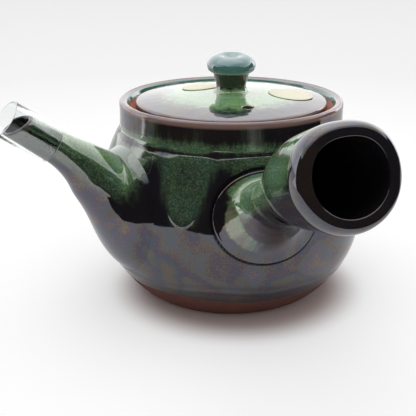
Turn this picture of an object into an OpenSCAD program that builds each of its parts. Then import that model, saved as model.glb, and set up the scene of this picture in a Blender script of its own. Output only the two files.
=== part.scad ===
// Side-handled teapot: a wide stoneware bowl with a collar, a funnel spout, a hollow
// trumpet handle, a drop-in lid with a knob, a steel strainer and a clear spout sleeve.
// Millimetres, +Z up. The origin is the middle of the flat foot, on the table.
// The handle points along -Y and the spout is turned from it towards -X.

/* [Body] */
// Radius of the flat foot
foot_r = 37; // [33:0.5:41]
// Width of the bevel round the foot's edge
foot_bevel = 0.8; // [0.3:0.1:1.5]
// Radius of the belly, the widest part of the bowl
belly_r = 54; // [51:0.5:58]
// Height of the belly above the table
belly_z = 34; // [30:0.5:38]
// Radius of the neck, where the shoulder meets the collar
neck_r = 44.2; // [43.4:0.1:44.8]
// Height of the neck above the table
neck_z = 69.5; // [67:0.5:72]
// Thickness of the bowl's wall
wall = 4; // [3:0.1:5]
// Thickness of the floor
floor_t = 5; // [4:0.1:7]

/* [Collar] */
// Outer radius of the collar at its lip
collar_r = 45; // [44.5:0.1:48]
// Height of the collar, from the neck to the rim
collar_h = 9.5; // [8:0.5:14]
// Thickness of the rounded lip
lip_t = 3; // [2:0.1:4]
// Depth of the lid's ledge below the rim
ledge_depth = 3; // [2.4:0.1:4]
// Radius of the throat inside the ledge
throat_r = 36; // [33:0.5:37]
// Thickness of the ledge
ledge_t = 5; // [3:0.1:6]

/* [Lid] */
// Radius of the lid's edge
lid_r = 38.6; // [37.6:0.1:40.5]
// Height of the lid's edge above the ledge
lid_edge_t = 2.6; // [2:0.1:3.2]
// Height of the lid's dome above its edge
dome_rise = 3; // [2:0.1:6]
// Thickness of the lid
lid_t = 3.4; // [2.5:0.1:4.5]
// Depth of the skirt below the ledge
skirt_depth = 7; // [4:0.5:10]
// Thickness of the skirt
skirt_t = 3; // [2:0.1:4]
// Gap between the skirt and the throat
skirt_gap = 0.6; // [0.3:0.1:1.2]
// Radius of the steam hole
vent_r = 2; // [1:0.1:3]
// Distance of the steam hole from the lid's middle
vent_at = 24.5; // [16:0.5:27]

/* [Knob] */
// Radius of the knob's cap
cap_r = 9.7; // [8.5:0.1:11]
// Height of the cap's upper half
cap_top = 5.1; // [3:0.1:7]
// Height of the cap's lower half
cap_under = 2.2; // [1.5:0.1:4]
// Radius of the knob's foot, on the lid
stem_foot_r = 6; // [5:0.1:7]
// Radius of the stem's waist
stem_waist_r = 5.6; // [4.5:0.1:6]
// Radius of the stem under the cap
stem_top_r = 7.4; // [6.5:0.1:8]
// Height of the stem
stem_h = 8.2; // [7:0.1:12]

/* [Spout] */
// Angle between the handle and the spout, seen from above
spout_turn = 73; // [65:1:100]
// Height of the middle of the spout's root
spout_root_z = 40.5; // [38:0.5:43]
// Upward tilt of the spout where it leaves the bowl
spout_root_tilt = 84; // [60:1:95]
// Distance of the tip's middle from the bowl's axis
spout_reach = 88.5; // [84:0.5:94]
// Height of the tip's middle
spout_tip_z = 78.5; // [75:0.5:82]
// Upward tilt of the straight tip
spout_tip_tilt = 36; // [30:1:42]
// Outer radius at the tip
spout_tip_r = 5.6; // [5:0.1:6.4]
// Outer radius at the inner end of the straight tip
spout_shank_r = 6.1; // [5.6:0.1:7]
// Outer radius at the neck, where the root begins to flare
spout_neck_r = 11; // [9.5:0.1:12]
// Half width of the flared root on the bowl
spout_root_w = 25; // [22:0.5:26]
// Half height of the flared root on the bowl
spout_root_h = 24.5; // [22:0.5:26]
// Swell of the flared root's underside
spout_swell_low = 6.5; // [4:0.5:9]
// Swell of the flared root's upper side
spout_swell_high = 7; // [4:0.5:9]
// Thickness of the spout's wall at the tip
spout_tip_wall = 1.4; // [1:0.1:1.8]
// Thickness of the spout's wall at the root
spout_root_wall = 4; // [3:0.1:5]
// Lean of the tip's cut towards level
spout_cut_lean = 26; // [0:1:30]

/* [Sleeve] */
// Gap between the spout and the clear sleeve
sleeve_gap = 0.3; // [0.3:0.05:0.5]
// Thickness of the sleeve's wall
sleeve_t = 0.6; // [0.4:0.1:1]
// Length of spout that the sleeve covers, up to the tip's middle
sleeve_over = 14.5; // [10:0.5:17]
// Length of the sleeve past the tip's middle
sleeve_past = 5.5; // [3:0.5:10]

/* [Strainer] */
// Radius of the hole in the bowl's wall behind the spout
strainer_hole_r = 13; // [10:0.5:15]
// Thickness of the strainer's steel ring
strainer_ring_t = 0.8; // [0.5:0.1:1.2]
// Length of the ring
strainer_ring_len = 5; // [3:0.5:7]
// Height of the strainer's dome
strainer_dome = 6.5; // [4:0.5:8]
// Thickness of the strainer's dome
strainer_t = 0.5; // [0.3:0.1:0.8]
// Radius of one hole in the dome
mesh_hole_r = 0.7; // [0.4:0.05:0.9]
// Spacing of the rings of holes
mesh_pitch = 2.4; // [2:0.1:3]

/* [Handle] */
// Height of the middle of the handle's root
handle_root_z = 46; // [42:0.5:48]
// Upward tilt of the handle where it leaves the bowl
handle_root_tilt = 45; // [36:1:50]
// Distance of the mouth's middle from the bowl's axis
handle_reach = 123.5; // [112:0.5:132]
// Height of the mouth's middle
handle_mouth_z = 83.5; // [74:0.5:90]
// Upward tilt of the handle at its mouth
handle_mouth_tilt = 18; // [10:1:26]
// Outer radius at the mouth
handle_mouth_r = 15.7; // [14:0.1:18]
// Outer radius at the grip's widest part
handle_grip_r = 15; // [14.5:0.1:18]
// Place of the grip's widest part, as a share of the handle's length
handle_grip_at = 0.74; // [0.6:0.01:0.8]
// Outer radius at the waist
handle_waist_r = 9.2; // [8.5:0.1:11]
// Place of the waist, as a share of the handle's length
handle_waist_at = 0.2; // [0.16:0.01:0.26]
// Half width of the flared root on the bowl
handle_root_w = 19; // [16:0.5:21]
// Half height of the flared root on the bowl
handle_root_h = 16; // [15:0.5:19]
// Thickness of the root's edge
handle_edge_t = 1.2; // [0.6:0.1:2]
// Thickness of the handle's wall
handle_wall = 3.6; // [2.5:0.1:4.5]
// Thickness of the mouth's rolled lip
handle_lip = 4.8; // [4.2:0.1:5.5]

/* [Labels] */
// Length of the round paper label
round_len = 19; // [12:0.5:20]
// Width of the round paper label
round_w = 18; // [10:0.5:19]
// Distance of the round label's middle from the lid's middle
round_at = 24; // [21:0.5:26]
// Direction of the round label from the handle, seen from above
round_turn = 74; // [40:1:110]
// Length of the oval paper label
oval_len = 19; // [12:0.5:20]
// Width of the oval paper label
oval_w = 14; // [8:0.5:16]
// Distance of the oval label's middle from the lid's middle
oval_at = 16.5; // [15.5:0.5:24]
// Direction of the oval label from the handle, seen from above
oval_turn = -148; // [-170:1:-110]
// Thickness of the paper
label_t = 0.2; // [0.1:0.05:0.3]

/* [Hidden] */

// Gap between pieces that are luted or stuck together
joint_gap = 0.15;
// Slack for cutting tools that must run past a surface
past = 1;
// Fineness of drawn circles
$fn = 96;
// Points round a funnel
sides = 40;
// Points along a drawn curve
curve_steps = 14;

glaze_green = "#2f4a35";
glaze_dark = "#3c3a3c";
steel = "#b9bcbe";
clear_vinyl = "#dfe8ea";
paper = "#ece5c0";

// The bowl's two arcs: one from the foot to the belly, one from the belly to the neck
bowl_in = belly_r - foot_r;
bowl_arc = (bowl_in * bowl_in + belly_z * belly_z) / (2 * bowl_in);
bowl_mid = belly_r - bowl_arc;
neck_in = belly_r - neck_r;
neck_up = neck_z - belly_z;
shoulder_arc = (neck_in * neck_in + neck_up * neck_up) / (2 * neck_in);
shoulder_mid = belly_r - shoulder_arc;

rim_z = neck_z + collar_h;
ledge_z = rim_z - ledge_depth;
gallery_r = collar_r - lip_t;
lid_top_z = ledge_z + lid_edge_t + dome_rise;
dome_arc = (lid_r * lid_r + dome_rise * dome_rise) / (2 * dome_rise);

// Directions seen from above: the handle along -Y, the spout turned from it towards -X
handle_turn = -90;
spout_dir = handle_turn - spout_turn;

// Radius of the bowl's outside at a height
function bowl_r(z) = z < belly_z
    ? bowl_mid + sqrt(bowl_arc * bowl_arc - (belly_z - z) * (belly_z - z))
    : shoulder_mid + sqrt(shoulder_arc * shoulder_arc - (z - belly_z) * (z - belly_z));

// Point at a radius, direction and height round the bowl's axis
function round_pt(r, turn, z) = [r * cos(turn), r * sin(turn), z];

// Point of an oval on the bowl's surface, lifted off it by up
function root_pt(turn, z0, half_w, half_h, a, up) =
    let (z = z0 + half_h * sin(a), r = bowl_r(z))
    round_pt(r + up, turn + half_w * cos(a) / r * 180 / PI, z);

// Point of an upright plane through the bowl's axis, moved sideways out of it
function plane_pt(turn, at, side) =
    [at[0] * cos(turn) - side * sin(turn), at[0] * sin(turn) + side * cos(turn), at[1]];

function slope(tilt) = [cos(tilt), sin(tilt)];

// Point of a ring round a funnel's axis: at is the ring's middle in the upright plane,
// tilt the axis's slope there and lean the slant of the ring towards level
function tube_pt(turn, at, tilt, r, a, lean = 0) =
    let (mid = at + r * sin(a) * (slope(tilt + 90) - tan(lean) * slope(tilt)))
    plane_pt(turn, mid, r * cos(a));

// Point on a cubic curve
function cubic(p, q, r, s, t) =
    pow(1 - t, 3) * p + 3 * t * pow(1 - t, 2) * q + 3 * t * t * (1 - t) * r + pow(t, 3) * s;

// Direction of a cubic curve
function cubic_way(p, q, r, s, t) =
    3 * pow(1 - t, 2) * (q - p) + 6 * t * (1 - t) * (r - q) + 3 * t * t * (s - r);

function mix(a, b, t) = a + (b - a) * t;

function ease(t) = t * t * (3 - 2 * t);

// Curved axis in an upright plane, as the four points of a cubic curve
function bend(from, from_tilt, to, to_tilt) =
    let (pull = 0.35 * norm(to - from))
    [from, from + pull * slope(from_tilt), to - pull * slope(to_tilt), to];

function bend_mid(axis, t) = cubic(axis[0], axis[1], axis[2], axis[3], t);

function bend_slope(axis, t) =
    let (way = cubic_way(axis[0], axis[1], axis[2], axis[3], t))
    atan2(way[1], way[0]);

// Ring square to a curved axis
function bend_ring(turn, axis, t, r) =
    [for (a = ring_angles) tube_pt(turn, bend_mid(axis, t), bend_slope(axis, t), r, a)];

// Ring on the bowl's surface, lifted off it by up
function root_ring(turn, z0, half_w, half_h, up) =
    [for (a = ring_angles) root_pt(turn, z0, half_w, half_h, a, up + joint_gap)];

// Ring of the flare from a funnel's neck (t = 0) to its root on the bowl (t = 1);
// low and high hold the flare's under and upper sides off the bowl
function flare_ring(turn, z0, axis, neck_t, r, half_w, half_h, up, low, high, t) = [
    for (a = ring_angles)
        let (
            above = (1 + sin(a)) / 2,
            tilt = bend_slope(axis, neck_t),
            mid = bend_mid(axis, neck_t),
            back = mid - mix(0.8, 0.3, above) * norm(mid - axis[0]) * slope(tilt),
            lift = up + mix(low, high, above) + joint_gap
        )
        cubic(
            tube_pt(turn, mid, tilt, r, a),
            tube_pt(turn, back, tilt, r * 1.1, a),
            root_pt(turn, z0, half_w * 0.72, half_h * 0.72, a, lift),
            root_pt(turn, z0, half_w, half_h, a, up + joint_gap),
            t
        )
];

// Skin of a closed chain of rings, each ring with the same number of points
module ring_chain(rings) {
    count = len(rings);
    around = len(rings[0]);
    points = [for (ring = rings) each ring];
    faces = [
        for (k = [0:count - 1], i = [0:around - 1])
            let (
                j = (i + 1) % around,
                a = k * around + i,
                b = k * around + j,
                c = ((k + 1) % count) * around + j,
                d = ((k + 1) % count) * around + i
            )
            each [[a, b, c], [a, c, d]]
    ];
    polyhedron(points = points, faces = faces, convexity = 8);
}

ring_angles = [for (i = [0:sides - 1]) 360 * i / sides];

// Outline of the bowl's outside, running a little past the neck, as a half section
module bowl_outside() {
    wide = belly_r + past;
    bevel_in = foot_r - foot_bevel;
    bevel_out = 2 * bowl_r(foot_bevel) - bevel_in;
    intersection() {
        union() {
            intersection() {
                translate([bowl_mid, belly_z]) circle(bowl_arc);
                square([wide, belly_z]);
            }
            intersection() {
                translate([shoulder_mid, belly_z]) circle(shoulder_arc);
                translate([0, belly_z]) square([wide, neck_up + past]);
            }
        }
        polygon([
            [0, 0], [bevel_in, 0], [bevel_out, 2 * foot_bevel],
            [wide, 2 * foot_bevel], [wide, rim_z], [0, rim_z]
        ]);
    }
}

// The collar with its ledge and rounded lip, as a half section
module collar() {
    lip_r = lip_t / 2;
    lip_z = rim_z - lip_r;
    spread = (collar_r - neck_r) / (lip_z - neck_z);
    polygon([
        [throat_r, neck_z - past], [neck_r - past * spread, neck_z - past], [collar_r, lip_z],
        [gallery_r, lip_z], [gallery_r, ledge_z], [throat_r, ledge_z]
    ]);
    intersection() {
        translate([collar_r - lip_r, lip_z]) circle(lip_r);
        translate([gallery_r - past, lip_z]) square([lip_t + 2 * past, lip_t]);
    }
}

// Hollow of the bowl below the ledge, and the throat above it, as a half section
module bowl_hollow() {
    ceiling = ledge_z - ledge_t;
    intersection() {
        union() {
            intersection() {
                translate([bowl_mid, belly_z]) circle(bowl_arc - wall);
                square([belly_r, belly_z]);
            }
            intersection() {
                translate([shoulder_mid, belly_z]) circle(shoulder_arc - wall);
                translate([0, belly_z]) square([belly_r, ceiling - belly_z]);
            }
        }
        translate([0, floor_t]) square([belly_r, ceiling - floor_t]);
    }
    translate([0, ceiling - past]) square([throat_r, ledge_t + 2 * past]);
}

module bowl() {
    color(glaze_dark) difference() {
        rotate_extrude() difference() {
            union() {
                bowl_outside();
                collar();
            }
            bowl_hollow();
        }
        at_strainer() cylinder(r = strainer_hole_r, h = belly_r + past);
    }
}

// Half disc of the lid's dome, grown outwards by a distance
module dome_disc(grow) {
    translate([0, lid_top_z - dome_arc]) circle(dome_arc + grow, $fn = 720);
}

module lid() {
    skirt_r = throat_r - skirt_gap;
    color(glaze_green) difference() {
        rotate_extrude() union() {
            difference() {
                intersection() {
                    dome_disc(0);
                    translate([0, ledge_z]) square([lid_r, lid_edge_t + dome_rise]);
                }
                intersection() {
                    dome_disc(-lid_t);
                    translate([0, ledge_z - past]) square([skirt_r - skirt_t, lid_edge_t + dome_rise]);
                }
            }
            translate([skirt_r - skirt_t, ledge_z - skirt_depth]) square([skirt_t, skirt_depth + lid_edge_t / 2]);
        }
        translate([vent_at * cos(handle_turn), vent_at * sin(handle_turn), ledge_z])
            cylinder(r = vent_r, h = lid_top_z);
    }
}

module lid_knob() {
    cap_z = stem_h + cap_under;
    stem_side = [
        for (i = [0:curve_steps])
            let (t = i / curve_steps, bulge = pow(t, 3) * (stem_top_r - stem_waist_r))
            [stem_waist_r + bulge + (stem_foot_r - stem_waist_r) * pow(1 - t, 3), stem_h * t]
    ];
    cap_side = [
        for (i = [-curve_steps:curve_steps - 1])
            let (a = 90 * i / curve_steps, half = i < 0 ? cap_under : cap_top)
            if (cap_r * cos(a) > stem_top_r || i > 0)
            [cap_r * cos(a), cap_z + half * sin(a)]
    ];
    color(glaze_green) translate([0, 0, lid_top_z + joint_gap]) rotate_extrude()
        polygon(concat([[0, 0]], stem_side, cap_side, [[0, cap_z + cap_top]]));
}

// The spout's axis in its upright plane: a curve from the bowl to the shank, then the straight tip
spout_tip = [spout_reach, spout_tip_z];
spout_shank = spout_tip - (sleeve_over + past) * slope(spout_tip_tilt);
spout_axis = bend([bowl_r(spout_root_z), spout_root_z], spout_root_tilt, spout_shank, spout_tip_tilt);
spout_neck_at = 0.48;

module spout() {
    steps = 8;
    root_in_w = spout_root_w - spout_root_wall;
    root_in_h = spout_root_h - spout_root_wall;
    shank_in_r = spout_shank_r - spout_tip_wall;
    neck_in_r = spout_neck_r - (spout_tip_wall + spout_root_wall) / 2;
    tip_in_r = spout_tip_r - spout_tip_wall;

    function tip_ring(t, r) = [
        for (a = ring_angles)
            tube_pt(spout_dir, mix(spout_shank, spout_tip, t), spout_tip_tilt, r, a, spout_cut_lean * t)
    ];
    function neck_ring(t, neck, shank) =
        bend_ring(spout_dir, spout_axis, mix(spout_neck_at, 1, t), shank + (neck - shank) * pow(1 - t, 1.5));
    function flare(t, r, half_w, half_h, up) = flare_ring(spout_dir, spout_root_z, spout_axis,
        spout_neck_at, r, half_w, half_h, up, spout_swell_low, spout_swell_high, t);

    color(glaze_green) ring_chain(concat(
        [for (i = [3:-1:1]) tip_ring(i / 3, mix(spout_shank_r, spout_tip_r, i / 3))],
        [for (i = [steps:-1:1]) neck_ring(i / steps, spout_neck_r, spout_shank_r)],
        [for (i = [0:steps]) flare(i / steps, spout_neck_r, spout_root_w, spout_root_h, 0.5)],
        [root_ring(spout_dir, spout_root_z, spout_root_w, spout_root_h, 0)],
        [for (i = [steps:-1:0]) flare(i / steps, neck_in_r, root_in_w, root_in_h, 0)],
        [for (i = [1:steps]) neck_ring(i / steps, neck_in_r, shank_in_r)],
        [for (i = [1:3]) tip_ring(i / 3, mix(shank_in_r, tip_in_r, i / 3))]
    ));
}

// The handle's axis in its upright plane, from the bowl to the middle of the rolled lip
handle_lip_r = handle_lip / 2;
handle_rim = [handle_reach, handle_mouth_z] - handle_lip_r * slope(handle_mouth_tilt);
handle_axis = bend([bowl_r(handle_root_z), handle_root_z], handle_root_tilt, handle_rim, handle_mouth_tilt);

module handle() {
    steps = 10;
    lip_steps = 6;
    root_in_w = handle_root_w - handle_wall;
    root_in_h = handle_root_h - handle_wall;

    function horn_r(t) = t < handle_grip_at
        ? mix(handle_waist_r, handle_grip_r, ease((t - handle_waist_at) / (handle_grip_at - handle_waist_at)))
        : mix(handle_grip_r, handle_mouth_r, ease((t - handle_grip_at) / (1 - handle_grip_at)));
    function horn_wall(t) = mix(handle_wall, handle_lip, (t - handle_waist_at) / (1 - handle_waist_at));
    function lip_ring(a) = [
        for (b = ring_angles)
            tube_pt(handle_turn, handle_rim + handle_lip_r * sin(a) * slope(handle_mouth_tilt), handle_mouth_tilt,
                handle_mouth_r - handle_lip_r + handle_lip_r * cos(a), b)
    ];
    function flare(t, r, half_w, half_h, up) = flare_ring(handle_turn, handle_root_z, handle_axis,
        handle_waist_at, r, half_w, half_h, up, up, up, t);

    color(glaze_green) ring_chain(concat(
        [for (i = [lip_steps:-1:0]) lip_ring(180 * i / lip_steps)],
        [for (i = [steps - 1:-1:1]) let (t = mix(handle_waist_at, 1, i / steps))
            bend_ring(handle_turn, handle_axis, t, horn_r(t))],
        [for (i = [0:steps]) flare(i / steps, handle_waist_r, handle_root_w, handle_root_h, handle_edge_t)],
        [root_ring(handle_turn, handle_root_z, handle_root_w, handle_root_h, 0)],
        [for (i = [steps:-1:0]) flare(i / steps, handle_waist_r - handle_wall, root_in_w, root_in_h, 0)],
        [for (i = [1:steps - 1]) let (t = mix(handle_waist_at, 1, i / steps))
            bend_ring(handle_turn, handle_axis, t, horn_r(t) - horn_wall(t))]
    ));
}

// Places children with +Z along the strainer's level axis, from the bowl's axis outwards
module at_strainer() {
    rotate([0, 0, spout_dir]) translate([0, 0, spout_root_z]) rotate([0, 90, 0]) children();
}

// Distances from the bowl's axis to the ring's two ends: the outer one stays inside the bowl's surface
strainer_out = sqrt(pow(bowl_r(spout_root_z), 2) - pow(strainer_hole_r, 2)) - 3 * joint_gap;
strainer_at = strainer_out - strainer_ring_len;

module strainer_ring() {
    outer = strainer_hole_r - joint_gap;
    color(steel) at_strainer() translate([0, 0, strainer_at]) difference() {
        cylinder(r = outer, h = strainer_ring_len);
        translate([0, 0, -past]) cylinder(r = outer - strainer_ring_t, h = strainer_ring_len + 2 * past);
    }
}

module strainer_mesh() {
    base = strainer_hole_r - 2 * joint_gap - strainer_ring_t;
    dome = (base * base + strainer_dome * strainer_dome) / (2 * strainer_dome);
    ring_count = floor((base - 2 * mesh_hole_r) / mesh_pitch);
    color(steel) at_strainer() translate([0, 0, strainer_at + strainer_ring_len / 2]) difference() {
        intersection() {
            translate([0, 0, dome - strainer_dome]) difference() {
                sphere(dome);
                sphere(dome - strainer_t);
            }
            translate([0, 0, -strainer_dome - past]) cylinder(r = base, h = strainer_dome + past);
        }
        for (k = [0:ring_count], i = [0:max(1, 6 * k) - 1])
            rotate([0, 0, i * 60 / max(1, k)]) translate([k * mesh_pitch, 0, -strainer_dome - past])
                cylinder(r = mesh_hole_r, h = strainer_dome + past, $fn = 16);
    }
}

// Places children with +Z along the spout's straight tip, from the tip's middle outwards
module on_tip() {
    translate(plane_pt(spout_dir, spout_tip, 0)) rotate([0, 90 - spout_tip_tilt, spout_dir]) children();
}

module spout_sleeve() {
    inner = spout_shank_r + sleeve_gap;
    color(clear_vinyl, 0.4) on_tip() translate([0, 0, -sleeve_over]) difference() {
        cylinder(r = inner + sleeve_t, h = sleeve_over + sleeve_past);
        translate([0, 0, -past]) cylinder(r = inner, h = sleeve_over + sleeve_past + 2 * past);
    }
}

// Sheet of paper on the lid's dome, cut to the outline of its children
module paper_on_dome(turn, at) {
    intersection() {
        rotate_extrude() intersection() {
            difference() {
                dome_disc(joint_gap + label_t);
                dome_disc(joint_gap);
            }
            translate([0, ledge_z]) square([lid_r, lid_top_z]);
        }
        rotate([0, 0, handle_turn + turn]) translate([at, 0, ledge_z]) linear_extrude(lid_top_z) children();
    }
}

module round_label() {
    color(paper) paper_on_dome(round_turn, round_at) scale([round_w / round_len, 1]) circle(round_len / 2);
}

module oval_label() {
    color(paper) paper_on_dome(oval_turn, oval_at) scale([oval_w / oval_len, 1]) circle(oval_len / 2);
}

bowl();
spout();
handle();
strainer_ring();
strainer_mesh();
lid();
lid_knob();
round_label();
oval_label();
spout_sleeve();
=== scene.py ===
# %% [markdown]
# # A side-handled teapot in two glazes
# This pot is thrown stoneware: a round bowl, a spout and a trumpet handle luted to it, and a lid with a knob.
# Its solids are already made and packed, so this lesson dresses them. Each piece is made again as a smooth mesh
# in the place of its solid, gets its glaze, and rides on the body that the solid belongs to.

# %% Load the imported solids
import math

import bmesh
import bpy
import numpy as np
from mathutils import Matrix, Vector


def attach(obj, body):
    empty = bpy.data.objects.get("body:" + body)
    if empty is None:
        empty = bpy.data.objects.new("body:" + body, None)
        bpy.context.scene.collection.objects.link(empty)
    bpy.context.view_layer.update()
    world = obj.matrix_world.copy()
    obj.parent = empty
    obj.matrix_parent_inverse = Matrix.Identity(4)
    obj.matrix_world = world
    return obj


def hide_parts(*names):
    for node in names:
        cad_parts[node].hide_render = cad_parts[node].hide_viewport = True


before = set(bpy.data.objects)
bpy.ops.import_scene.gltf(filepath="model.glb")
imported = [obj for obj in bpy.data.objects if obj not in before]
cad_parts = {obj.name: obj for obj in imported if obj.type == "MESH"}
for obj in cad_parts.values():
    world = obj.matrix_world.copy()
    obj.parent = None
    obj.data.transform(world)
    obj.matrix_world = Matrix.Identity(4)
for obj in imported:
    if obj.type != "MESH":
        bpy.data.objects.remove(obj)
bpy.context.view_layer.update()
MM = 0.001

# %% [markdown]
# ## One way to make a mesh
# Potters join pieces with slip, and here every piece goes through one small function in the same way. It takes
# points in millimetres and faces, merges doubles, turns the faces outwards and shades them smooth. Operators
# could do this too, but a function gives the same mesh each time and needs no selection.

# %% Mesh helpers
def new_object(name, data):
    made = bpy.data.objects.new(name, data)
    bpy.context.scene.collection.objects.link(made)
    return made


def close_up(piece):
    work = bmesh.new()
    work.from_mesh(piece.data)
    bmesh.ops.remove_doubles(work, verts=work.verts, dist=1e-6)
    bmesh.ops.dissolve_degenerate(work, edges=work.edges, dist=1e-7)
    bmesh.ops.recalc_face_normals(work, faces=work.faces)
    open_edges = sum(not e.is_manifold for e in work.edges)
    for face in work.faces:
        face.smooth = True
    work.to_mesh(piece.data)
    work.free()
    print(piece.name, "faces:", len(piece.data.polygons), "open edges:", open_edges)


def make_piece(name, points, faces):
    mesh = bpy.data.meshes.new(name)
    mesh.from_pydata((np.asarray(points) * MM).tolist(), [], faces)
    piece = new_object(name, mesh)
    close_up(piece)
    return piece


def apply(piece, modifier):
    """Makes the modifier's result the piece's own plain mesh."""
    ready = piece.evaluated_get(bpy.context.evaluated_depsgraph_get())
    mesh = bpy.data.meshes.new_from_object(ready)
    piece.modifiers.remove(modifier)
    piece.data = mesh


# %% [markdown]
# ## The potter's wheel
# Bowl, lid and knob are thrown, so each one is an outline turned round the upright axis. A Screw modifier could
# do that. A Geometry Nodes tree is chosen because it can also lay the faint spiral of the thrower's fingers into
# the wall: a grid takes its points from the outline, one column for each step round, and every point moves in or
# out a little.

# %% Outline helpers
def rounded(corners, steps=5):
    """Outline through (x, z, radius) corners, with an arc at each corner that has a radius."""
    out = []
    for i, (x, z, radius) in enumerate(corners):
        p = np.array([x, z], float)
        if not radius:
            out.append(tuple(p))
            continue
        before = np.array(corners[i - 1][:2], float) - p
        after = np.array(corners[(i + 1) % len(corners)][:2], float) - p
        before, after = before / np.linalg.norm(before), after / np.linalg.norm(after)
        half = math.acos(np.clip(before @ after, -1, 1)) / 2
        reach = radius / math.tan(half)
        a, b = p + before * reach, p + after * reach
        middle = p + (before + after) / np.linalg.norm(before + after) * radius / math.sin(half)
        for t in np.linspace(0, 1, steps + 1):
            q = a + (b - a) * t - middle
            out.append(tuple(middle + q / np.linalg.norm(q) * radius))
    return out


def spaced(outline, gap):
    """The outline with points added, so that no step is longer than gap."""
    out = [outline[0]]
    for p, q in zip(outline, outline[1:]):
        steps = max(1, math.ceil(math.dist(p, q) / gap))
        out += [(p[0] + (q[0] - p[0]) * k / steps, p[1] + (q[1] - p[1]) * k / steps)
                for k in range(1, steps + 1)]
    return out


# %% One function that adds a node
def feed(tree, node, links):
    """Gives each input in links a value or another node's socket."""
    for key, value in links.items():
        if isinstance(value, bpy.types.NodeSocket):
            tree.links.new(value, node.inputs[key])
        else:
            node.inputs[key].default_value = value


def put(tree, kind, links, **settings):
    """Adds a node, sets its settings and feeds its inputs."""
    made = tree.nodes.new(kind)
    for key, value in settings.items():
        setattr(made, key, value)
    feed(tree, made, links)
    return made


def out(tree, kind, links, **settings):
    """The first output of a new node."""
    return put(tree, kind, links, **settings).outputs[0]


def calc(tree, operation, *values):
    """A Math node's result."""
    return put(tree, "ShaderNodeMath", dict(enumerate(values)), operation=operation).outputs[0]


# %% Start, end and run of a Geometry Nodes tree
def new_tree(name, inputs, output):
    """A tree with named inputs and one mesh output, and its input sockets."""
    tree = bpy.data.node_groups.new(name, "GeometryNodeTree")
    for label, kind in inputs:
        tree.interface.new_socket(label, in_out="INPUT", socket_type="NodeSocket" + kind)
    tree.interface.new_socket(output, in_out="OUTPUT", socket_type="NodeSocketGeometry")
    return tree, put(tree, "NodeGroupInput", {}).outputs


def end_tree(tree, mesh, material, output):
    real = out(tree, "GeometryNodeRealizeInstances", {"Geometry": mesh})
    done = out(tree, "GeometryNodeSetMaterial", {"Geometry": real, "Material": material})
    put(tree, "NodeGroupOutput", {output: done})
    return tree


def run_tree(tree, start, name, values):
    """Runs a node tree on a start mesh and returns the result as a plain piece."""
    piece = new_object(name, start)
    modifier = piece.modifiers.new(tree.name, "NODES")
    modifier.node_group = tree
    sockets = {s.name: s.identifier for s in tree.interface.items_tree if s.in_out == "INPUT"}
    for key, value in values.items():
        modifier[sockets[key]] = value
    apply(piece, modifier)
    piece.data.name = name
    bpy.data.meshes.remove(start)
    close_up(piece)
    return piece


# %% The wheel
# Closer to the axis than this, in metres, no finger leaves a ring
SMOOTH_MIDDLE = 0.004


def build_wheel():
    tree, ins = new_tree("potters_wheel", [
        ("Outline", "Geometry"), ("Outline Points", "Int"), ("Steps Round", "Int"), ("Ring Depth", "Float"),
        ("Ring Pitch", "Float"), ("Clay", "Material")], "Thrown")
    columns = calc(tree, "ADD", ins["Steps Round"], 1.0)
    grid = put(tree, "GeometryNodeMeshGrid", {"Vertices X": ins["Outline Points"], "Vertices Y": columns})
    index = out(tree, "GeometryNodeInputIndex", {})
    row = calc(tree, "FLOOR", calc(tree, "DIVIDE", index, columns))
    turn = calc(tree, "DIVIDE", calc(tree, "MODULO", index, columns), ins["Steps Round"])
    spot = out(tree, "GeometryNodeInputPosition", {})
    found = put(tree, "GeometryNodeSampleIndex", {"Geometry": ins["Outline"], "Value": spot, "Index": row},
                data_type="FLOAT_VECTOR", domain="POINT")
    parts = put(tree, "ShaderNodeSeparateXYZ", {0: found.outputs[0]}).outputs
    spiral = calc(tree, "ADD", calc(tree, "DIVIDE", parts["Z"], ins["Ring Pitch"]), turn)
    ripple = calc(tree, "SINE", calc(tree, "MULTIPLY", spiral, math.tau))
    groove = calc(tree, "MULTIPLY", ripple, ins["Ring Depth"])
    off_axis = calc(tree, "GREATER_THAN", parts["X"], SMOOTH_MIDDLE)
    radius = calc(tree, "ADD", parts["X"], calc(tree, "MULTIPLY", groove, off_axis))
    angle = calc(tree, "MULTIPLY", turn, math.tau)
    x = calc(tree, "MULTIPLY", radius, calc(tree, "COSINE", angle))
    y = calc(tree, "MULTIPLY", radius, calc(tree, "SINE", angle))
    spot = out(tree, "ShaderNodeCombineXYZ", {0: x, 1: y, 2: parts["Z"]})
    wall = out(tree, "GeometryNodeSetPosition", {"Geometry": grid.outputs["Mesh"], "Position": spot})
    joined = out(tree, "GeometryNodeMergeByDistance", {"Geometry": wall, "Distance": 1e-6})
    return end_tree(tree, joined, ins["Clay"], "Thrown")


wheel = build_wheel()
stand_in = bpy.data.materials.new("finish_to_come")


def throw(name, outline, steps, ring_depth=0.0, ring_pitch=5.0):
    start = bpy.data.meshes.new(name + "_outline")
    edges = [(i, i + 1) for i in range(len(outline) - 1)]
    start.from_pydata([(r * MM, 0, z * MM) for r, z in outline], edges, [])
    return run_tree(wheel, start, name, {
        "Outline Points": len(outline), "Steps Round": steps, "Ring Depth": ring_depth * MM,
        "Ring Pitch": ring_pitch * MM, "Clay": stand_in})


# %% [markdown]
# ## The bowl
# The real bowl has two arcs, foot to belly and belly to neck, then a collar with a rounded lip, and inside the
# lip a bare ledge that carries the lid. Corners on fired clay are soft, so each corner of the outline gets a
# small radius. The hole behind the spout is cut by a Boolean, because one hole in a turned form isn't worth a
# tree of its own.

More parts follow.
